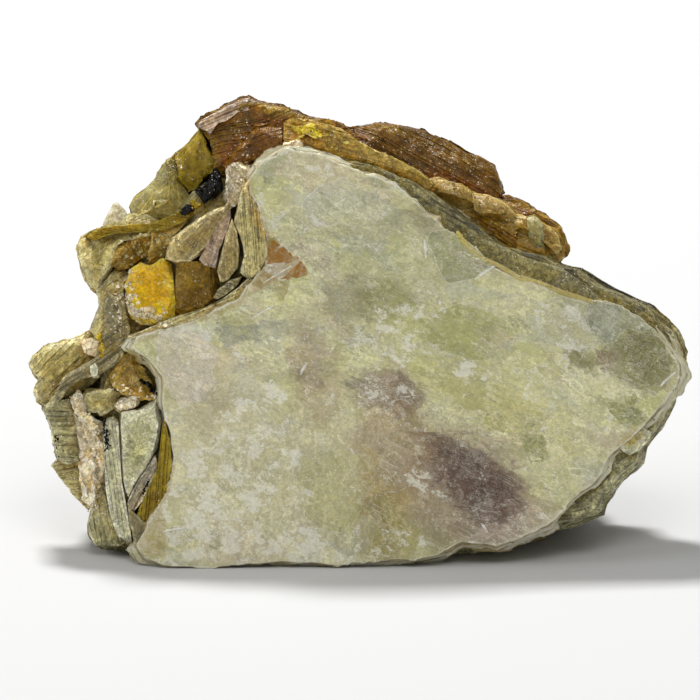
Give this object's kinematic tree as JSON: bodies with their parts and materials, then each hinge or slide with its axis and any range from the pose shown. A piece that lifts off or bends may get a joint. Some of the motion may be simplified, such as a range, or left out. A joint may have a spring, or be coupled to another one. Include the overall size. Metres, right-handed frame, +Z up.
{
  "type": "mica crystal specimen",
  "caption": "Hand specimen of muscovite mica: a thick book with a big flat cleavage face, smaller books grown around it, and grains of tourmaline and feldspar between them.",
  "frame": {"origin": "a point on the flat resting face under the middle of the specimen", "axes": "+X to the right of the big cleavage face, along the longest extent; +Y to its back; +Z up"},
  "size_m": [0.0835, 0.0371, 0.0559],
  "materials": {
    "mica": "pale sage-green pearly cleavage face, olive to golden brown along the edges of the sheets",
    "tourmaline": "black, glassy, finely broken",
    "feldspar": "cream to amber, dull to waxy"
  },
  "bodies": {
    "root": {"mica_books": "mica", "black_tourmaline": "tourmaline", "black_tourmaline_sliver": "tourmaline", "feldspar_lump": "feldspar", "feldspar_crest_grain": "feldspar", "feldspar_crumbs": "feldspar"}
  },
  "joints": []
}
